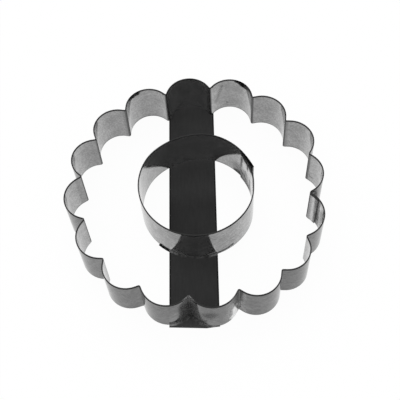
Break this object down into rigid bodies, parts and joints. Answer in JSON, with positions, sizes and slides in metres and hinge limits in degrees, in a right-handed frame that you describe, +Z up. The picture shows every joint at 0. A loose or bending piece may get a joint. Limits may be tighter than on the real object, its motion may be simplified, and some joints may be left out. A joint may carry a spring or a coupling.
{
  "type": "frill cutter",
  "caption": "Scalloped metal frill cutter with a plain inner ring, both standing on a flat strap handle, cutting rims up.",
  "frame": {"origin": "the middle of the scalloped band's fold circle, on the strap's underside", "axes": "+Z up from the strap towards the cutting rims; Y along the strap, +Y towards the far end"},
  "size_m": [0.1001, 0.102, 0.0195],
  "materials": {
    "wall_steel": "bright tinned strip, near mirror, with faint rolling marks and smears",
    "strap_steel": null,
    "solder": "dull grey solder, uneven along the joint"
  },
  "bodies": {
    "root": {"outer_band": "wall_steel", "inner_ring": "wall_steel", "strap": "strap_steel", "band_solder_near": "solder", "band_solder_far": "solder", "ring_solder_near": "solder", "ring_solder_far": "solder"}
  },
  "joints": []
}
